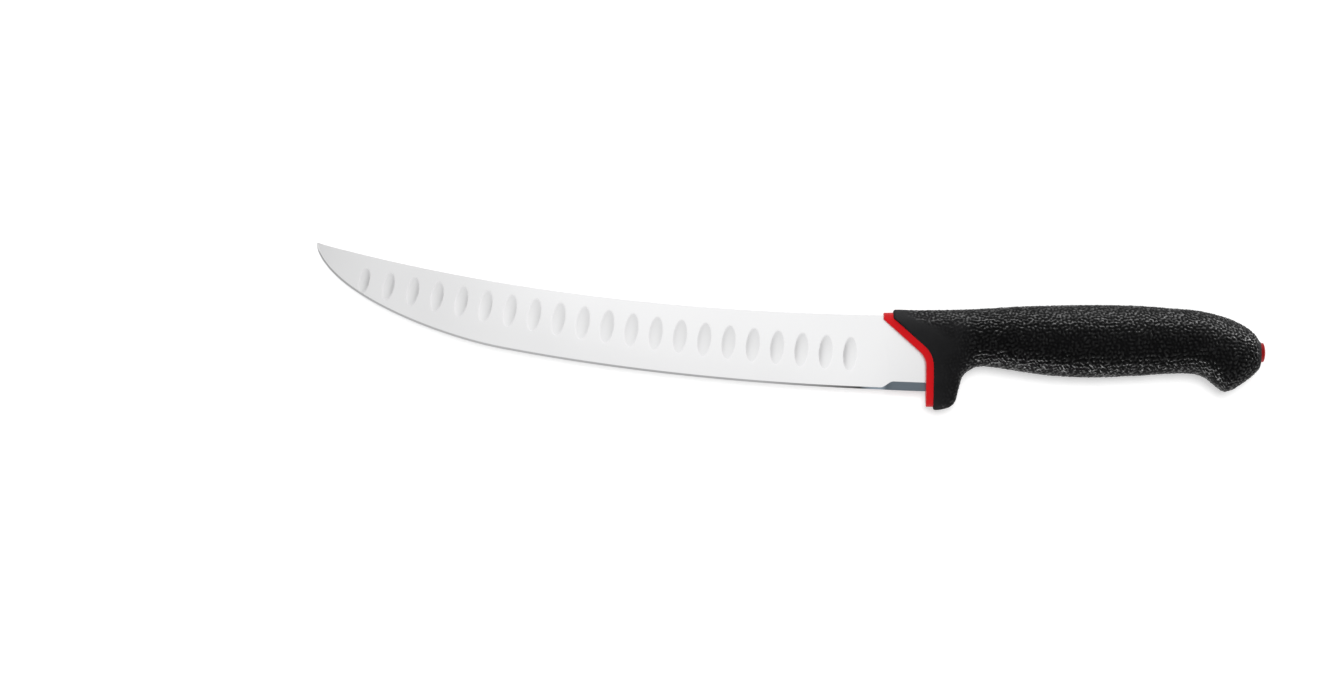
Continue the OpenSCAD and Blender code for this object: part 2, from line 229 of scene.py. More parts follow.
def mark_points(piece, name, values):
    """Keeps a number for each point, for the materials to read."""
    attribute = piece.data.attributes.new(name, "FLOAT", "POINT")
    attribute.data.foreach_set("value", np.asarray(values, dtype=np.float32))


def sharpen(piece, degrees):
    """Creases the shading along edges that bend by more than an angle."""
    piece.data.set_sharp_from_angle(angle=math.radians(degrees))


# The blade's outline, in millimetres. Each curve leaves and reaches its ends by way of two handles.

SPINE_FULLNESS = 9  # height over the heel of the spine's handle nearest the tip
SPINE_SETTLE = 1.4  # height over the heel of its other handle
BELLY_LEAD = 3  # how far behind the tip the belly's first handle is
BELLY_FALL = 21  # how far below the tip it is
BELLY_REACH = 25  # length of the belly's other handle
EDGE_SLOPE = -0.19  # slope of the edge where the belly begins
EDGE_SETTLE = 1.9  # height over the heel of the straight edge's last handle
RUNOUT_FALL = 0.3  # how far the edge drops from the heel to the end of the runout
COLLAR_FALL = 1.5  # how far it drops from the heel to inside the collar
BELLY_STEPS = 80
EDGE_STEPS = 60
ROW_FALL = 15.4  # drop of the row's handle nearest the tip
ROW_SETTLE = 5.3  # height of its other handle over the row's end
ROW_MARGIN = 8  # distance from the tip within which the sections keep one slope
ROUNDS = 12  # rounds that bring a section's upper end onto the spine


def spine_y(b, x):
    t = (x + b.length) / (b.length - b.heel_length)
    if t >= 1:
        return b.spine_height
    low = b.spine_height
    return cubic(b.tip_rise, low + SPINE_FULLNESS, low + SPINE_SETTLE, low, t)


def edge_points(b):
    """The cutting edge from the tip to the collar."""
    start = -b.length + b.belly_length
    run = -b.heel_length - start
    points = []
    for i in range(BELLY_STEPS + 1):
        t = i / BELLY_STEPS
        points.append((
            cubic(-b.length, -b.length + BELLY_LEAD, start - BELLY_REACH, start, t),
            cubic(b.tip_rise, b.tip_rise - BELLY_FALL, -b.belly_depth - EDGE_SLOPE * BELLY_REACH,
                  -b.belly_depth, t),
        ))
    for i in range(1, EDGE_STEPS + 1):
        t = i / EDGE_STEPS
        points.append((
            mix(start, -b.heel_length, t),
            cubic(-b.belly_depth, -b.belly_depth + EDGE_SLOPE * run / 3, -b.heel_depth + EDGE_SETTLE,
                  -b.heel_depth, t),
        ))
    points.append((-b.heel_length + b.runout, -b.heel_depth - RUNOUT_FALL))
    points.append((b.heel_length, -b.heel_depth - COLLAR_FALL))
    return np.array(points)


def row_y(b, x):
    """Height of the row of scallops, on past its ends."""
    run = b.pitch * (b.scallops - 1)
    t = (x + b.scallop_start + run) / run
    return cubic(b.scallop_rise, b.scallop_rise - ROW_FALL, -b.scallop_drop + ROW_SETTLE,
                 -b.scallop_drop, t)


def row_slope(b, x):
    return (row_y(b, x + 1) - row_y(b, x - 1)) / 2


def crossing(b, edge, foot, slope):
    """Where the section through foot, square to the row, meets the edge and the spine."""
    side = (edge[:, 0] - foot[0]) + slope * (edge[:, 1] - foot[1])
    i = int(np.argmax(side > 0)) or 1
    t = side[i - 1] / (side[i - 1] - side[i])
    low = edge[i - 1] + (edge[i] - edge[i - 1]) * clamp(t)
    y = foot[1]
    for _ in range(ROUNDS):
        y = spine_y(b, foot[0] - slope * (y - foot[1]))
    high = np.array([foot[0] - slope * (y - foot[1]), y])
    return low, high


def distance_to(line, points):
    """Distance from each point to a line of short segments."""
    start, step = line[:-1], np.diff(line, axis=0)
    away = points[:, None] - start
    t = np.clip((away * step).sum(-1) / (step ** 2).sum(-1), 0, 1)
    return np.linalg.norm(away - t[..., None] * step, axis=-1).min(1)


# The blade's thickness

TIP_TAPER = 12  # length over which the spine thins out at the tip
TIP_SHARE = 0.9  # share of the spine's thickness left there
TIP_SLOPE = 0.035  # how fast the steel may thicken away from the edge
BEVEL_SHARE = 0.6  # most of the spine's thickness that the bevel may take
SCALLOP_SHARE = 0.42  # most of the half thickness that a scallop may take
LEAST_HALF = 0.05  # least half thickness of the eased spine


def spine_half(b, x):
    tip = mix(TIP_SHARE, 1, smooth(clamp((x + b.length) / TIP_TAPER)))
    return tip * mix(b.tip_steel, b.steel, clamp((x + b.length) / (b.length - b.heel_length))) / 2


def bevel_half(b, x, spine):
    """Half the thickness behind the cutting bevel, which grows towards the heel."""
    thickening = clamp((x + b.heel_length + b.grind_runout) / (b.grind_runout + b.runout))
    return mix(min(b.bevel_steel / 2, spine * BEVEL_SHARE), spine, smooth(thickening))


def wheel(chord, depth):
    """Radius of the wheel that grinds a hollow of a given length and depth."""
    return (chord * chord / 4 + depth * depth) / (2 * depth)


def scallop_cut(b, along, across, face_half):
    """How deep the grinding wheel reaches at a point, from its distances to the scallop's middle."""
    depth = np.minimum(b.scallop_depth, SCALLOP_SHARE * face_half)
    wheel_radius = wheel(b.scallop_length, b.scallop_depth)
    rim_radius = wheel(b.scallop_width, b.scallop_depth)
    across_drop = wheel_radius - np.sqrt(np.maximum(wheel_radius ** 2 - across ** 2, 0))
    along_drop = rim_radius - np.sqrt(np.maximum(rim_radius ** 2 - along ** 2, 0))
    return np.maximum(depth - across_drop - along_drop, 0)


def nearest_scallop(b, x, shift):
    """The middle of the scallop nearest a section, and the ways along and across the row there."""
    number = round((-b.scallop_start - shift - x) / b.pitch)
    number = min(max(number, 0), b.scallops - 1)
    middle_x = -b.scallop_start - shift - number * b.pitch
    angle = math.atan(row_slope(b, middle_x))
    along = np.array([math.cos(angle), math.sin(angle)])
    across = np.array([-along[1], along[0]])
    return np.array([middle_x, row_y(b, middle_x)]), along, across


# The blade's sections

LINES_PER_PITCH = 24
TIP_LINES = 25
TIP_CROWDING = 1.6  # how much closer the sections stand towards the tip
TIP_LEAD = 2.0  # how far past the tip the first section's foot stands
RUNOUT_LINES = 13
HEEL_LINES = [-8, 0, 3]  # sections behind the runout
TILT_FADE = 8  # length over which the sections turn upright at the heel
EASED_SHARE = 0.2  # most of a section's height that the bevel or the easing may take
BAND_REACH = 0.56  # half height of the band of closer points, in scallop lengths
BAND_MARGIN = 0.04  # least share of a section between that band and the face's ends
BAND_TOP = 0.8  # highest place where the band may start
BAND_LEAST = 0.02  # least share of a section that the band takes
LOW_POINTS, BAND_POINTS, HIGH_POINTS = 5, 34, 6
GROUND_DEPTH = 0.04  # depth at which a scallop has its full dull finish and its full painted shade
DARK_START = 40  # how far in front of the heel the bevel's painted shade starts to deepen
DARK_LENGTH = 38


def section_feet(b):
    """Where the sections stand along the blade, and their slopes."""
    step = b.pitch / LINES_PER_PITCH
    heel_x = -b.heel_length
    first = -b.scallop_start - b.pitch * b.scallops
    crowded = np.linspace(0, 1, TIP_LINES + 1)[1:] ** TIP_CROWDING
    feet = list(-b.length - TIP_LEAD + (first + b.length + TIP_LEAD) * crowded)
    feet += list(np.arange(first + step, heel_x - step, step))
    feet += list(np.linspace(heel_x, heel_x + b.runout, RUNOUT_LINES)) + HEEL_LINES
    slopes = np.array([row_slope(b, min(max(x, -b.length + ROW_MARGIN), -b.scallop_start)) for x in feet])
    return feet, slopes * (1 - np.clip((np.array(feet) + b.scallop_start) / TILT_FADE, 0, 1))


def section_shares(b, tall, band_middle, face_low, face_high):
    """Places of the points from the edge, 0, to the spine, 1: closest together across the scallops."""
    reach = BAND_REACH * b.scallop_length / tall
    band_low = min(max(band_middle - reach, face_low + BAND_MARGIN), BAND_TOP)
    band_high = max(min(band_middle + reach, face_high - BAND_MARGIN), band_low + BAND_LEAST)
    return np.concatenate([
        np.linspace(face_low, band_low, LOW_POINTS),
        np.linspace(band_low, band_high, BAND_POINTS)[1:-1],
        np.linspace(band_high, face_high, HIGH_POINTS),
    ])


def blade_sections(b):
    """Rings of points round the blade from the tip to inside the collar, and where they are scalloped."""
    edge = edge_points(b)
    rings, marks = [], []
    for x, slope in zip(*section_feet(b)):
        foot = (x, row_y(b, min(x, -b.scallop_start)))
        low, high = crossing(b, edge, foot, slope)
        tall = high[1] - low[1]
        run = smooth(clamp((low[0] + b.heel_length) / b.runout))
        bevel = min(mix(b.bevel_height, b.heel_chamfer, run), tall * EASED_SHARE)
        easing = min(b.easing, tall * EASED_SHARE)
        face_low, face_high = bevel / tall, 1 - easing / tall
        band_middle = (foot[1] - low[1]) / tall
        share = section_shares(b, tall, band_middle, face_low, face_high)
        points = low + np.outer(share, high - low)

        top_half = spine_half(b, high[0])
        low_half = bevel_half(b, low[0], top_half)
        half = low_half + (top_half - low_half) * (share - face_low) / (face_high - face_low)
        from_edge = distance_to(edge, points)
        half = np.minimum(half, low_half + TIP_SLOPE * np.maximum(from_edge - b.bevel_height, 0))
        ease_half = max(min(top_half, float(half[-1])) - easing, LEAST_HALF)
        band_half = float(np.interp(band_middle, share, half))
        sides, ground = [], []
        for shift in (0, -b.pitch / 2):
            middle, along, across = nearest_scallop(b, x, shift)
            away = points - middle
            cut = scallop_cut(b, away @ along, away @ across, band_half)
            sides.append(half - cut)
            ground.append(np.clip(cut / GROUND_DEPTH, 0, 1))

        land = mix(b.edge_land, b.heel_land, run) / 2
        upper = [(*point, z) for point, z in zip(points, sides[0])]
        lower = [(*point, -z) for point, z in zip(points, sides[1])]
        rings.append([(*high, ease_half), *upper[::-1], (*low, land),
                      (*low, -land), *lower, (*high, -ease_half)])
        # the scallop mark sets the scallops' duller finish and their painted shade
        marks.append([0, *ground[0][::-1], 0, 0, *ground[1], 0])
    return np.array(rings), np.array(marks)


def build_blade(blade, handle):
    b, h = sizes(blade), sizes(handle)
    rings, marks = blade_sections(b)
    points, faces = skin(rings)
    materials = [steel_material(b), edge_material(b)]
    piece = make_piece("blade_steel", points, faces, materials, "blade", row_offset(b, h))
    around = rings.shape[1]
    half = around // 2
    bevel_columns = (half - 2, half - 1, half)
    for polygon in piece.data.polygons:
        ring, column = divmod(polygon.index, around)
        if ring < len(rings) - 1 and column in bevel_columns:
            polygon.material_index = 1
    # the "heel" mark places the bevel's painted shade, which deepens towards the heel
    heel = np.clip((points[:, 0] + b.heel_length + DARK_START) / DARK_LENGTH, 0, 1)
    mark_points(piece, "heel", smooth(heel))
    mark_points(piece, "scallop", marks.ravel())
    sharpen(piece, degrees=5.5)


# The handle: the same sections as the solid core and grip

DRAWN_LENGTH = 137.2  # grip length for which the stations behind the finger rest are drawn
REST_END = 26  # where the finger rest ends
SECTION_POWER = 2.3  # how square the oval sections are
GUARD_SLIMMING = 0.3  # how much thinner a section is at its foot, at the guard
SLIM_START, SLIM_RUN = 3, 7  # station where that begins to fade, and the stations it takes
BOW_END = 9  # station up to which the sections follow the collar's line
NEAR = 0.2  # how far to each side of a station its slope is taken
LEAST_SQUARENESS = 0.35


def grip_stations(h):
    """A point on the back, the point below it and the half width there, from the collar to the butt."""

    def behind(x):
        return REST_END + (x - REST_END) * (h.grip_length - REST_END) / (DRAWN_LENGTH - REST_END)

    guard, palm, hook = h.guard_width / 2, h.palm_width / 2, h.hook_width / 2
    front, back = h.front_rise, h.palm_rise
    return np.array([
        [-h.grip_nose, front, h.collar, -h.guard_drop, guard],
        [-h.grip_nose + 3.2, front, 5.3, -h.guard_drop, guard + 0.1],
        [-6.8, front - 0.1, 7.9, -h.guard_drop + 0.5, guard + 0.3],
        [-3.4, front - 0.1, 10.1, -h.guard_drop + 1.6, guard + 0.5],
        [0, front - 0.1, 11.4, -h.guard_drop + 3.8, guard + 0.7],
        [4, front - 0.1, 12, -h.guard_drop + 7, guard + 0.9],
        [7.5, front, 13, -h.finger_drop - 7.2, guard + 1.1],
        [11, front, 14.5, -h.finger_drop - 4, guard + 1.3],
        [15, front + 0.1, 17.4, -h.finger_drop - 1.7, guard + 1.5],
        [19.5, front + 0.3, 21, -h.finger_drop - 0.2, guard + 1.9],
        [25.5, front + 0.6, REST_END, -h.finger_drop - 0.1, palm - 2.1],
        [behind(35), back - 0.8, behind(36), -h.palm_drop + 2.9, palm - 1.3],
        [behind(50), back - 0.3, behind(50), -h.palm_drop + 0.9, palm - 0.4],
        [behind(68), back, behind(68), -h.palm_drop, palm],
        [behind(86), back - 0.3, behind(86), -h.palm_drop + 0.7, palm - 0.2],
        [behind(100), back - 1.3, behind(101), -h.waist_drop, hook + 0.2],
        [behind(109), back - 2, behind(109), -h.waist_drop - 0.1, hook],
        [behind(115), back - 3, behind(114), -h.waist_drop - 1.6, hook],
        [behind(119.5), back - 4.1, behind(118), -h.hook_drop + 2.7, hook],
        [behind(123.5), back - 5.3, behind(121.8), -h.hook_drop, hook - 0.1],
        [behind(127.5), back - 7, behind(125.4), -h.hook_drop + 0.6, hook - 0.6],
        [behind(131.5), back - 9.2, behind(129.8), -h.hook_drop + 3.3, hook - 1.6],
        [behind(134.8), back - 11.9, behind(134), -h.hook_drop + 6.5, hook - 3.4],
        [behind(136.5), -h.butt_drop + 5.1, behind(136.5), -h.butt_drop - 6.9, hook - 5.4],
        [h.grip_length, -h.butt_drop + 4.4, h.grip_length, -h.butt_drop - 4.7, h.button / 2 + 0.5],
    ])


def station_at(table, u):
    """A spline through the stations."""
    last = len(table) - 1
    i = min(int(u), last - 1)
    t = u - i
    a, b, c, d = (table[min(max(k, 0), last)] for k in (i - 1, i, i + 1, i + 2))
    square, cube = 2 * a - 5 * b + 4 * c - d, 3 * b - a - 3 * c + d
    return 0.5 * (2 * b + (c - a) * t + square * t ** 2 + cube * t ** 3)


def collar_line(h, y, back):
    """The collar's line seen from the side, moved back by a distance."""
    r = h.radius + back
    rise = y + h.corner + h.radius * math.tan(h.rake / 2)
    slope = r * math.cos(h.rake) - h.radius - (rise - r * math.sin(h.rake)) * math.tan(h.rake)
    arc = np.sqrt(np.maximum(r * r - rise * rise, 0)) - h.radius
    nose = -mix(h.nose, h.grip_nose, back / h.collar)
    return np.where(rise < 0, back, np.where(rise < r * math.sin(h.rake), arc, np.maximum(slope, nose)))


def oval(s, slim, points):
    """Half of an upright oval section from its upper point to its lower one."""
    angle = (np.arange(points) + 0.5) * math.pi / points
    t = (1 - np.cos(angle)) / 2
    half = s[4] * (1 - slim * t) * (1 - np.abs(np.cos(angle)) ** SECTION_POWER) ** (1 / SECTION_POWER)
    return np.stack([mix(s[0], s[2], t), mix(s[1], s[3], t), half], -1)


def whole(half):
    """The ring made of a half and its mirror image."""
    return np.concatenate([half, half[::-1] * [1, 1, -1]])


def squareness(table, u, end):
    """How squarely the section at a station meets the outline at one of its ends."""
    g = station_at(table, u)
    a = station_at(table, max(u - NEAR, 0))
    b = station_at(table, min(u + NEAR, len(table) - 1))
    outline = b[end:end + 2] - a[end:end + 2]
    ring = g[:2] - g[2:4]
    cross = outline[0] * ring[1] - outline[1] * ring[0]
    return max(LEAST_SQUARENESS, abs(cross) / (np.linalg.norm(outline) * np.linalg.norm(ring)))


def grip_half_ring(h, table, u, inset, points):
    """Half a ring of the grip at station u, drawn in by an inset, bowed to follow the collar."""
    g = station_at(table, u)
    tall = np.linalg.norm(g[:2] - g[2:4])
    start = inset / squareness(table, u, 0) / tall
    finish = 1 - inset / squareness(table, u, 2) / tall
    upper, lower = mix(g[:2], g[2:4], start), mix(g[:2], g[2:4], finish)
    slim = GUARD_SLIMMING * (1 - smooth(clamp((u - SLIM_START) / SLIM_RUN)))
    half = oval([*upper, *lower, g[4] - inset], slim, points)
    bow = 1 - smooth(clamp(u / BOW_END))
    share = (half[:, 1] + h.guard_drop) / (h.front_rise + h.guard_drop)
    half[:, 0] += bow * (collar_line(h, half[:, 1], h.collar) - mix(h.collar, -h.grip_nose, share))
    return half


# The collar and the tail button

COLLAR_POINTS = 90
COLLAR_EDGE = 0.35  # radius of the collar's rounded front edge
COLLAR_HOLD = 0.1  # distance from an edge of the ring that holds its shading
COLLAR_LAP = 0.6  # how far the collar reaches under the grip
BUTTON_POINTS = 64
BUTTON_ROOT = 6  # how far the button reaches into the grip
BUTTON_EDGE = 0.25  # height of the button's rounded rim
BUTTON_SHARE = 0.93  # share of the dome inside that rim
DOME_RINGS = 12
CLOSED = 0.02  # radius of the ring that closes the dome


def build_collar(blade, handle):
    b, h = sizes(blade), sizes(handle)
    table = grip_stations(h)
    quarter = [math.radians(a) for a in (90, 67.5, 45, 22.5, 0)]
    profile = [(COLLAR_EDGE * (1 - math.sin(a)), COLLAR_EDGE * (1 - math.cos(a))) for a in quarter]
    profile += [(COLLAR_EDGE + COLLAR_HOLD, 0), (h.collar - COLLAR_HOLD, 0), (h.collar, 0),
                (h.collar + COLLAR_LAP, 0)]
    rings = []
    for back, inset in profile:
        half = grip_half_ring(h, table, 0, h.collar_inset + inset, COLLAR_POINTS)
        half[:, 0] = collar_line(h, half[:, 1], min(back, h.collar)) + max(back - h.collar, 0)
        rings.append(whole(half))
    points, faces = skin(np.array(rings))
    piece = make_piece("collar", points, faces, [core_material(h)], "handle_core",
                       row_offset(b, h))
    sharpen(piece, degrees=35)


def build_button(blade, handle):
    b, h = sizes(blade), sizes(handle)
    radius = h.button / 2
    dome = wheel(h.button, h.button_dome)
    end = h.grip_length + h.button_height
    profile = [(h.grip_length - BUTTON_ROOT, radius), (end - h.button_dome - BUTTON_EDGE, radius)]
    for k in range(DOME_RINGS + 1):
        angle = math.asin(radius / dome) * BUTTON_SHARE * (1 - k / DOME_RINGS)
        profile.append((end - dome + dome * math.cos(angle), max(dome * math.sin(angle), CLOSED)))
    turns = (np.arange(BUTTON_POINTS) + 0.5) * 2 * math.pi / BUTTON_POINTS
    rings = [np.stack([np.full(BUTTON_POINTS, x), -h.butt_drop + r * np.cos(turns), r * np.sin(turns)], -1)
             for x, r in profile]
    points, faces = skin(np.array(rings))
    piece = make_piece("tail_button", points, faces, [core_material(h)], "handle_core",
                       row_offset(b, h))
    sharpen(piece, degrees=50)


# The grained grip

GRIP_POINTS = 102
GRIP_SPACING = 0.34
LOOK_AHEAD = 0.05  # part of a station over which the pace along the grip is taken
EDGE_RUN = 0.42  # part of a station taken by the grip's rounded front edge
SKIN_INSET = 0.06  # how far the crowns lie inside the solid grip
GRAIN_SEED = 7
GRAIN_WAVES, PATCH_WAVES = 60, 30
PATCH_SIZE = 3  # size of the duller patches, in grains
CROWN_LEVEL, CROWN_SPREAD = 0.08, 0.8
PATCH_LEVEL, PATCH_SPREAD = 0.5, 0.35
GROOVE_LEVEL, GROOVE_SPREAD = 0.5, -0.3
DULLEST = 0.35  # shine of the crowns in the dullest patches
SMOOTH_AXIS = 12  # where the smooth flat ends, behind the collar, on the grip's axis
SMOOTH_BACK = -7  # where it ends along the back
SMOOTH_GUARD = 5  # how much sooner it ends on the guard
SMOOTH_FADE = 5  # length over which the grain begins
BACK_HEIGHT = 11
GUARD_START, GUARD_RUN = 3, 6
FAINT = 0.45  # depth of the grain beside the smooth flat
FAINT_END, FAINT_RUN = 13, 8
FAINT_BACK = 0.9  # depth of the grain along the back
BUTT_MARGIN, BUTT_FADE = 0.8, 1.5  # smooth rim round the tail button


def waves(points, length, count, seed):
    """Random waves of about one length, like the wrinkles of leather, spread about 0 by about 1."""
    chance = np.random.default_rng(seed)
    ways = chance.normal(size=(count, 3))
    ways *= (2 * math.pi / length * chance.uniform(0.8, 1.25, count) / np.linalg.norm(ways, axis=1))[:, None]
    return np.cos(points @ ways.T + chance.uniform(0, 2 * math.pi, count)).sum(1) * math.sqrt(2 / count)


def fade(values, start, run):
    """Rises from 0 to 1 over a run of values."""
    return np.clip((values - start) / run, 0, 1)


def grain_mask(points, h):
    """1 where the grip is grained, 0 on the smooth flats beside the collar and the button."""
    x, y = points[:, 0], points[:, 1]
    back = fade(y, 0, BACK_HEIGHT)
    border = mix(SMOOTH_AXIS, SMOOTH_BACK, back) - SMOOTH_GUARD * fade(-y, GUARD_START, GUARD_RUN)
    faint = np.maximum(mix(FAINT, 1, fade(x, FAINT_END, FAINT_RUN)), FAINT_BACK * back)
    butt = 1 - fade(x, h.grip_length - BUTT_MARGIN - BUTT_FADE, BUTT_FADE)
    return faint * np.clip((x - border) / SMOOTH_FADE + 0.5, 0, 1) * butt


def ring_normals(rings):
    """Unit normals of a skin, from its neighbours along and round it."""
    along = np.gradient(rings, axis=0)
    round_it = np.roll(rings, -1, 1) - np.roll(rings, 1, 1)
    normal = np.cross(round_it, along)
    return normal / np.maximum(np.linalg.norm(normal, axis=2, keepdims=True), 1e-9)


def grip_rings(h):
    """Evenly spaced rings of the smooth grip, the first ones round its front edge, and how many those are."""
    table = grip_stations(h)
    quarter = [math.radians(a) for a in (0, 15, 30, 45, 60, 75, 90)]
    stations = [(EDGE_RUN * (1 - math.cos(a)), h.collar_inset * (1 - math.sin(a))) for a in quarter]
    last = len(table) - 1
    u = EDGE_RUN
    while u < last - 1e-6:
        here, ahead = station_at(table, u), station_at(table, min(u + LOOK_AHEAD, last))
        step = ahead - here
        pace = max(np.linalg.norm(step[:2]), np.linalg.norm(step[2:4])) / LOOK_AHEAD
        u = min(u + GRIP_SPACING / max(pace, 1e-3), last)
        stations.append((u, 0))
    rings = np.array([whole(grip_half_ring(h, table, u, inset, GRIP_POINTS)) for u, inset in stations])
    return rings, len(quarter)


def build_grip(blade, handle):
    b, h = sizes(blade), sizes(handle)
    rings, edge_rings = grip_rings(h)
    points, faces = skin(rings)
    wrinkles = waves(points, h.grain, GRAIN_WAVES, GRAIN_SEED)
    dullness = waves(points, PATCH_SIZE * h.grain, PATCH_WAVES, GRAIN_SEED + 1)
    crown = smooth(np.clip(CROWN_LEVEL + CROWN_SPREAD * wrinkles, 0, 1))
    patches = np.clip(PATCH_LEVEL + PATCH_SPREAD * dullness, 0, 1)
    mask = grain_mask(points, h)
    mask[: edge_rings * rings.shape[1]] = 0
    depth = SKIN_INSET + mask * h.grain_depth * np.clip(GROOVE_LEVEL + GROOVE_SPREAD * wrinkles, 0, 1)
    points = points - ring_normals(rings).reshape(-1, 3) * depth[:, None]
    piece = make_piece("grip_skin", points, faces, [grip_material(h)], "grip", row_offset(b, h))
    # the grain mask also sets where the smooth flats are painted paler for their sheen
    mark_points(piece, "grain", mask)
    mark_points(piece, "crown", mask * crown * mix(DULLEST, 1, patches))


# Nodes

MIX_FACTOR, MIX_A, MIX_B, MIX_RESULT = 0, 6, 7, 2  # sockets of a Mix node that mixes colours
NOISE_SPAN = (0.3, 0.7)  # where nearly all of a noise's values lie


def new_group(name, inputs, outputs):
    group = bpy.data.node_groups.new(name, "ShaderNodeTree")
    for title, default in inputs:
        socket = group.interface.new_socket(title, in_out="INPUT", socket_type="NodeSocketFloat")
        socket.default_value = default
    for title in outputs:
        group.interface.new_socket(title, in_out="OUTPUT", socket_type="NodeSocketFloat")
    return group


def empty_tree(owner):
    """The node tree of a material or the world, emptied."""
    owner.use_nodes = True
    owner.node_tree.nodes.clear()
    return owner.node_tree


def node(tree, kind, values=None, **settings):
    """A new node with its settings made and its input sockets filled in."""
    made = tree.nodes.new(kind)
    for key, value in settings.items():
        setattr(made, key, value)
    for key, value in (values or {}).items():
        made.inputs[key].default_value = value
    return made


def link(tree, source, output, target, socket):
    tree.links.new(source.outputs[output], target.inputs[socket])


def remap(tree, source, output, span, result):
    """A value carried from one span to another."""
    made = node(tree, "ShaderNodeMapRange", {
        "From Min": span[0], "From Max": span[1], "To Min": result[0], "To Max": result[1],
    })
    link(tree, source, output, made, "Value")
    return made


def ramp(tree, stops):
    """A run of greys or colours at their positions."""
    made = node(tree, "ShaderNodeValToRGB")
    elements = made.color_ramp.elements
    while len(elements) < len(stops):
        elements.new(0.5)
    for element, (position, value) in zip(elements, stops):
        element.position = position
        element.color = (*value, 1) if isinstance(value, tuple) else (value, value, value, 1)
    return made


def mottled(tree, source, output, tint, darkest, lightest):
    """A colour that drifts between a darker and a lighter shade of itself with a noise."""
    low, high = NOISE_SPAN
    made = ramp(tree, [(low, tuple(c * darkest for c in tint)), (high, tuple(c * lightest for c in tint))])
    link(tree, source, output, made, "Fac")
    return made


def grind_lines_group():
    """Fine lines that run one way over ground steel, with slow drifts of tone."""
    name = "Grind lines"
    if name in bpy.data.node_groups:
        return bpy.data.node_groups[name]
    group = new_group(name, [("Lines per mm", 3.0), ("Strength", 0.5)], ["Lines", "Drift"])
    ins, outs = node(group, "NodeGroupInput"), node(group, "NodeGroupOutput")
    place = node(group, "ShaderNodeTexCoord")
    stretch = node(group, "ShaderNodeMapping", {
        "Rotation": (0, 0, math.radians(-8)), "Scale": (1000, 28, 60),
    })
    fine = node(group, "ShaderNodeTexNoise", {"Detail": 3.0, "Roughness": 0.6})
    slow = node(group, "ShaderNodeTexNoise", {"Scale": 22.0, "Detail": 2.0})
    scaled = node(group, "ShaderNodeMath", operation="MULTIPLY")
    link(group, place, "Object", stretch, "Vector")
    link(group, stretch, "Vector", fine, "Vector")
    link(group, ins, "Lines per mm", fine, "Scale")
    link(group, place, "Object", slow, "Vector")
    link(group, fine, "Fac", scaled, 0)
    link(group, ins, "Strength", scaled, 1)
    link(group, scaled, "Value", outs, "Lines")
    link(group, slow, "Fac", outs, "Drift")
    return group


def moulding_group():
    """The fine spark-eroded texture of moulded plastic and rubber, with faint handling marks."""
    name = "Moulded texture"
    if name in bpy.data.node_groups:
        return bpy.data.node_groups[name]
    group = new_group(name, [("Scale", 2500.0), ("Cells", 0.2)], ["Height", "Marks"])
    ins, outs = node(group, "NodeGroupInput"), node(group, "NodeGroupOutput")
    place = node(group, "ShaderNodeTexCoord")
    fine = node(group, "ShaderNodeTexNoise", {"Detail": 2.0, "Roughness": 0.5})
    cells = node(group, "ShaderNodeTexVoronoi", feature="SMOOTH_F1")
    half_scale = node(group, "ShaderNodeMath", {1: 0.5}, operation="MULTIPLY")
    blend = node(group, "ShaderNodeMix", data_type="FLOAT")
    marks = node(group, "ShaderNodeTexNoise", {"Scale": 60.0, "Detail": 4.0, "Roughness": 0.65})
    for texture in (fine, cells, marks):
        link(group, place, "Object", texture, "Vector")
    link(group, ins, "Scale", fine, "Scale")
    link(group, ins, "Scale", half_scale, 0)
    link(group, half_scale, "Value", cells, "Scale")
    link(group, ins, "Cells", blend, "Factor")
    link(group, fine, "Fac", blend, "A")
    link(group, cells, "Distance", blend, "B")
    link(group, blend, "Result", outs, "Height")
    link(group, marks, "Fac", outs, "Marks")
    return group


# Materials

DRIFT_SHADES = (0.97, 1.02)  # how far the steel's tone drifts
DRIFT_POLISH = (0.94, 1.06)  # how far its roughness drifts
SCALLOP_ROUGHNESS = 0.3
# painted shade: the scallops' steel colour is multiplied by this, standing in for the shade in the hollows
SCALLOP_PAINTED_SHADE = 0.95
# painted shade: the bevel's steel colour is darkened by this
BEVEL_PAINTED_SHADE = 0.84
HEEL_TONES = ((0.35, 0.38), (0.6, 0.2), (0.82, 0.12), (0.93, 0.045))  # the bevel's painted shade, deepening towards the heel
SMOOTH_PAINTED_SHEEN = 3.4  # how much paler the grip is painted on its smooth flats than in the grooves: a painted sheen
SMOOTH_POLISH, GRAINED_POLISH = 0.55, 0.4


def new_material(name, values):
    """A material with a Principled shader, some of its sockets filled in."""
    material = bpy.data.materials.new(name)
    tree = empty_tree(material)
    shader = node(tree, "ShaderNodeBsdfPrincipled", values)
    output = node(tree, "ShaderNodeOutputMaterial")
    link(tree, shader, "BSDF", output, "Surface")
    return material, tree, shader


def relieve(tree, source, output, strength, distance, shader):
    """Gives a shader the relief of a height."""
    relief = node(tree, "ShaderNodeBump", {"Strength": strength, "Distance": distance})
    link(tree, source, output, relief, "Height")
    link(tree, relief, "Normal", shader, "Normal")


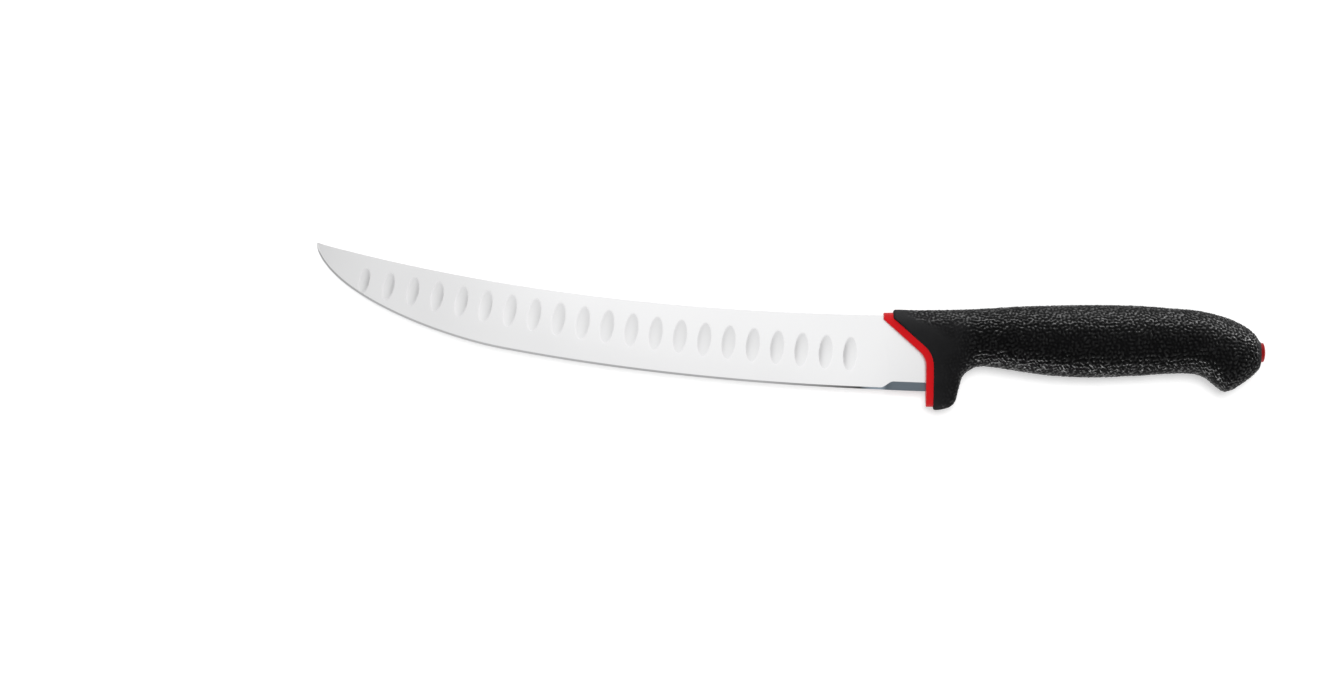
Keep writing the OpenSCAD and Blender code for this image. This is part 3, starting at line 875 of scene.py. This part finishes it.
def steel_shader(name, roughness, lines, strength, bump):
    """Ground steel, duller in the scallops and painted darker there as shade. Its tint is socket A of the
    node returned last.
    """
    material, tree, shader = new_material(name, {"Metallic": 1.0})
    grind = node(tree, "ShaderNodeGroup", {"Lines per mm": lines, "Strength": strength},
                 node_tree=grind_lines_group())
    scallop = node(tree, "ShaderNodeAttribute", attribute_name="scallop")
    tone = remap(tree, grind, "Drift", NOISE_SPAN, DRIFT_SHADES)
    shade = node(tree, "ShaderNodeMix", {MIX_FACTOR: 1.0}, data_type="RGBA", blend_type="MULTIPLY")
    # painted shade in the scallops: the scallop mark multiplies the steel colour down
    darker = node(tree, "ShaderNodeMix", {MIX_B: (SCALLOP_PAINTED_SHADE, SCALLOP_PAINTED_SHADE, SCALLOP_PAINTED_SHADE, 1)},
                  data_type="RGBA", blend_type="MULTIPLY")
    link(tree, tone, "Result", shade, MIX_B)
    link(tree, scallop, "Fac", darker, MIX_FACTOR)
    link(tree, shade, MIX_RESULT, darker, MIX_A)
    link(tree, darker, MIX_RESULT, shader, "Base Color")
    polish = remap(tree, grind, "Drift", NOISE_SPAN, [roughness * part for part in DRIFT_POLISH])
    finish = node(tree, "ShaderNodeMix", {"B": SCALLOP_ROUGHNESS}, data_type="FLOAT")
    link(tree, scallop, "Fac", finish, "Factor")
    link(tree, polish, "Result", finish, "A")
    link(tree, finish, "Result", shader, "Roughness")
    relieve(tree, grind, "Lines", bump, 0.00002, shader)
    return material, tree, shade


def steel_material(b):
    material, _, shade = steel_shader("Ground steel", roughness=0.24, lines=3.0, strength=0.5, bump=0.12)
    shade.inputs[MIX_A].default_value = (*b.colour, 1)
    return material


def edge_material(b):
    """The cutting bevel, painted darker than the flats, with painted shade that deepens towards the heel and
    ends in the heel chamfer's painted dark reflection.
    """
    material, tree, shade = steel_shader("Edge steel", roughness=0.32, lines=2.5, strength=0.7, bump=0.2)
    heel = node(tree, "ShaderNodeAttribute", attribute_name="heel")
    # painted shade on the bevel, deepening along the heel mark into the chamfer's painted reflection
    ground = tuple(c * BEVEL_PAINTED_SHADE for c in b.colour)
    tones = ramp(tree, [(0.0, ground), *HEEL_TONES, (1.0, tuple(b.chamfer_colour))])
    link(tree, heel, "Fac", tones, "Fac")
    link(tree, tones, "Color", shade, MIX_A)
    return material


def core_material(h):
    """Hard satin plastic of the collar and the tail button."""
    name = "Hard core plastic"
    if name in bpy.data.materials:
        return bpy.data.materials[name]
    material, tree, shader = new_material(name, {"Specular IOR Level": 0.25})
    mould = node(tree, "ShaderNodeGroup", {"Scale": 3500.0, "Cells": 0.1}, node_tree=moulding_group())
    tone = mottled(tree, mould, "Marks", h.core_colour, 0.93, 1.0)
    polish = remap(tree, mould, "Marks", NOISE_SPAN, (0.34, 0.44))
    link(tree, tone, "Color", shader, "Base Color")
    link(tree, polish, "Result", shader, "Roughness")
    relieve(tree, mould, "Height", 0.15, 0.00005, shader)
    return material


def grip_material(h):
    """Soft rubber: satin and painted paler for its sheen where it is smooth, with shiny crowns between dull
    grooves where it is grained.
    """
    material, tree, shader = new_material("Soft grip rubber", {
        "Specular IOR Level": 0.02, "Coat IOR": 1.5, "Coat Roughness": 0.28,
    })
    mould = node(tree, "ShaderNodeGroup", {"Scale": 4000.0, "Cells": 0.3}, node_tree=moulding_group())
    grain = node(tree, "ShaderNodeAttribute", attribute_name="grain")
    crown = node(tree, "ShaderNodeAttribute", attribute_name="crown")
    tone = mottled(tree, mould, "Marks", h.grip_colour, 0.8, 1.2)
    # painted sheen: the smooth flats' colour is made paler through the grain mask
    paler = remap(tree, grain, "Fac", (0, 1), (SMOOTH_PAINTED_SHEEN, 1))
    rough = remap(tree, grain, "Fac", (0, 1), (SMOOTH_POLISH, GRAINED_POLISH))
    shade = node(tree, "ShaderNodeVectorMath", operation="SCALE")
    link(tree, tone, "Color", shade, "Vector")
    link(tree, paler, "Result", shade, "Scale")
    link(tree, shade, "Vector", shader, "Base Color")
    link(tree, rough, "Result", shader, "Roughness")
    link(tree, crown, "Fac", shader, "Coat Weight")
    relieve(tree, mould, "Height", 0.5, 0.00004, shader)
    return material


def table_material(tint, glow_level):
    """Pale table: it takes the knife's shadow, and glows enough to read as white."""
    material = bpy.data.materials.new("Pale table")
    tree = empty_tree(material)
    matte = node(tree, "ShaderNodeBsdfDiffuse", {"Color": (*tint, 1)})
    glow = node(tree, "ShaderNodeEmission", {"Color": (1, 1, 1, 1)})
    path = node(tree, "ShaderNodeLightPath")
    seen = node(tree, "ShaderNodeMath", operation="MAXIMUM")
    seen_through = node(tree, "ShaderNodeMath", operation="MAXIMUM")
    level = node(tree, "ShaderNodeMath", {1: glow_level}, operation="MULTIPLY")
    both = node(tree, "ShaderNodeAddShader")
    output = node(tree, "ShaderNodeOutputMaterial")
    link(tree, path, "Is Camera Ray", seen, 0)
    link(tree, path, "Is Glossy Ray", seen, 1)
    link(tree, seen, "Value", seen_through, 0)
    link(tree, path, "Is Transmission Ray", seen_through, 1)
    link(tree, seen_through, "Value", level, 0)
    link(tree, level, "Value", glow, "Strength")
    link(tree, matte, "BSDF", both, 0)
    link(tree, glow, "Emission", both, 1)
    link(tree, both, "Shader", output, "Surface")
    return material


# The studio, in metres

DOME_TONES = ((0.0, 0.95), (0.25, 0.8), (0.5, 0.5), (0.85, 0.25), (1.0, 0.2))  # from horizon to zenith
TABLE_HALF = 4
KEY_SPREAD, KEY_TILT = 18, -9  # degrees
SENSOR_WIDTH = 36  # millimetres


def build_world():
    """A pale horizon under a greyer dome."""
    world = bpy.context.scene.world or bpy.data.worlds.new("Studio")
    bpy.context.scene.world = world
    tree = empty_tree(world)
    place = node(tree, "ShaderNodeTexCoord")
    split = node(tree, "ShaderNodeSeparateXYZ")
    dome = ramp(tree, DOME_TONES)
    background = node(tree, "ShaderNodeBackground", {"Strength": 1.0})
    output = node(tree, "ShaderNodeOutputWorld")
    link(tree, place, "Generated", split, "Vector")
    link(tree, split, "Z", dome, "Fac")
    link(tree, dome, "Color", background, "Color")
    link(tree, background, "Background", output, "Surface")


def build_table(tint, glow_level):
    """A square of table top, on which the knife lies."""
    t = TABLE_HALF
    mesh = bpy.data.meshes.new("table")
    mesh.from_pydata([(-t, -t, 0), (t, -t, 0), (t, t, 0), (-t, t, 0)], [], [(0, 1, 2, 3)])
    mesh.materials.append(table_material(tint, glow_level))
    table = bpy.data.objects.new("table", mesh)
    bpy.context.scene.collection.objects.link(table)
    return table


def pieces(*names):
    """The pieces of these names, which have to be there by now."""
    missing = [name for name in names if name not in bpy.data.objects]
    if missing:
        raise RuntimeError("Build these before the studio: " + ", ".join(missing))
    return [bpy.data.objects[name] for name in names]


def light_only(lamp, targets):
    """Keeps a lamp to some pieces, so that it throws no second shadow on the table."""
    lit = bpy.data.collections.new("Lit by " + lamp.name)
    for target in targets:
        lit.objects.link(target)
    lamp.light_linking.receiver_collection = lit


def panel(name, place, aim, width, depth, power, lights):
    """A large rectangular lamp that lights one piece."""
    data = bpy.data.lights.new(name, "AREA")
    data.shape = "RECTANGLE"
    data.size, data.size_y, data.energy = width, depth, power
    lamp = bpy.data.objects.new(name, data)
    lamp.location = place
    lamp.rotation_euler = (Vector(aim) - Vector(place)).to_track_quat("-Z", "Y").to_euler()
    bpy.context.scene.collection.objects.link(lamp)
    light_only(lamp, pieces(lights))
    return lamp


def build_lamps(s, table, middle):
    """A lamp for the table and the collar, three panels over the blade and three low ones round the grip."""
    key = bpy.data.objects.new("Key lamp", bpy.data.lights.new("Key lamp", "SUN"))
    key.data.energy = s.key
    key.data.angle = math.radians(KEY_SPREAD)
    key.visible_glossy = False
    key.rotation_euler = (math.radians(KEY_TILT), 0, 0)
    bpy.context.scene.collection.objects.link(key)
    light_only(key, [table, *pieces("collar")])
    panel("Blade panel", place=(-0.069, 0.03, 0.35), aim=(-0.069, 0.03, 0), width=0.392, depth=0.34,
          power=s.panel_power, lights="blade_steel")
    core = panel("Panel core", place=(-0.02, 0.12, 0.27), aim=(-0.02, 0.12, 0), width=0.29, depth=0.33,
                 power=s.panel_core, lights="blade_steel")
    core.data.shape = "ELLIPSE"
    panel("Ceiling", place=(-0.115, 0.10, 0.95), aim=(-0.115, 0.10, 0), width=1.8, depth=1.8,
          power=s.ceiling_power, lights="blade_steel")
    panel("Side softbox", place=(0.10, 0.80, 0.36), aim=middle, width=1.4, depth=0.62,
          power=s.softbox_power, lights="grip_skin")
    panel("Front card", place=(-0.05, -0.75, 0.06), aim=middle, width=0.6, depth=0.14,
          power=s.card_power, lights="grip_skin")
    panel("End card", place=(0.72, 0.42, 0.09), aim=(0.19, 0.0, 0.0128), width=0.5, depth=0.16,
          power=s.end_power, lights="grip_skin")


def build_camera(s, middle):
    """Looks straight down at the knife."""
    data = bpy.data.cameras.new("Camera")
    data.lens = s.lens
    data.sensor_width = SENSOR_WIDTH
    camera = bpy.data.objects.new("Camera", data)
    distance = s.frame_width * MM * data.lens / data.sensor_width
    camera.location = middle[0] + s.camera_x * MM, middle[1] + s.camera_y * MM, middle[2] + distance
    bpy.context.scene.collection.objects.link(camera)
    bpy.context.scene.camera = camera


def build_studio(studio, blade, handle):
    s = sizes(studio)
    middle = [float(part) for part in row_offset(sizes(blade), sizes(handle)) * MM]
    table = build_table(tuple(s.table_colour), s.table_glow)
    build_world()
    build_lamps(s, table, middle)
    build_camera(s, middle)
    bpy.context.scene.view_settings.view_transform = "Standard"


# Operators and the panel

class KNIFE_OT_blade(bpy.types.Operator):
    """Builds the ground steel blade with its scallops"""
    bl_idname = "knife.blade"
    bl_label = "Blade"

    def execute(self, context):
        build_blade(context.scene.knife_blade, context.scene.knife_handle)
        return {"FINISHED"}


class KNIFE_OT_core(bpy.types.Operator):
    """Builds what shows of the hard core: the collar and the tail button"""
    bl_idname = "knife.core"
    bl_label = "Collar and button"

    def execute(self, context):
        build_collar(context.scene.knife_blade, context.scene.knife_handle)
        build_button(context.scene.knife_blade, context.scene.knife_handle)
        return {"FINISHED"}


class KNIFE_OT_grip(bpy.types.Operator):
    """Builds the soft grained grip"""
    bl_idname = "knife.grip"
    bl_label = "Grip"

    def execute(self, context):
        build_grip(context.scene.knife_blade, context.scene.knife_handle)
        return {"FINISHED"}


class KNIFE_OT_studio(bpy.types.Operator):
    """Sets up the table, the lamps and the camera"""
    bl_idname = "knife.studio"
    bl_label = "Studio"

    def execute(self, context):
        scene = context.scene
        build_studio(scene.knife_studio, scene.knife_blade, scene.knife_handle)
        return {"FINISHED"}


OPERATORS = (KNIFE_OT_blade, KNIFE_OT_core, KNIFE_OT_grip, KNIFE_OT_studio)


class KNIFE_PT_panel(bpy.types.Panel):
    """Lists the knife's pieces and their sizes"""
    bl_idname = "KNIFE_PT_panel"
    bl_label = "Carving Knife"
    bl_space_type = "VIEW_3D"
    bl_region_type = "UI"
    bl_category = "Knife"

    def draw(self, context):
        layout = self.layout
        for operator in OPERATORS:
            layout.operator(operator.bl_idname)
        for name in ("knife_blade", "knife_handle", "knife_studio"):
            group = getattr(context.scene, name)
            box = layout.box()
            for prop in group.bl_rna.properties:
                if prop.identifier not in ("rna_type", "name"):
                    box.prop(group, prop.identifier)


CLASSES = (KnifeBlade, KnifeHandle, KnifeStudio, *OPERATORS, KNIFE_PT_panel)


def register():
    for cls in CLASSES:
        bpy.utils.register_class(cls)
    bpy.types.Scene.knife_blade = bpy.props.PointerProperty(type=KnifeBlade)
    bpy.types.Scene.knife_handle = bpy.props.PointerProperty(type=KnifeHandle)
    bpy.types.Scene.knife_studio = bpy.props.PointerProperty(type=KnifeStudio)


def unregister():
    del bpy.types.Scene.knife_studio
    del bpy.types.Scene.knife_handle
    del bpy.types.Scene.knife_blade
    for cls in reversed(CLASSES):
        bpy.utils.unregister_class(cls)


def main():
    register()
    bpy.ops.knife.blade()
    bpy.ops.knife.core()
    bpy.ops.knife.grip()
    bpy.ops.knife.studio()


if __name__ == "__main__":
    main()
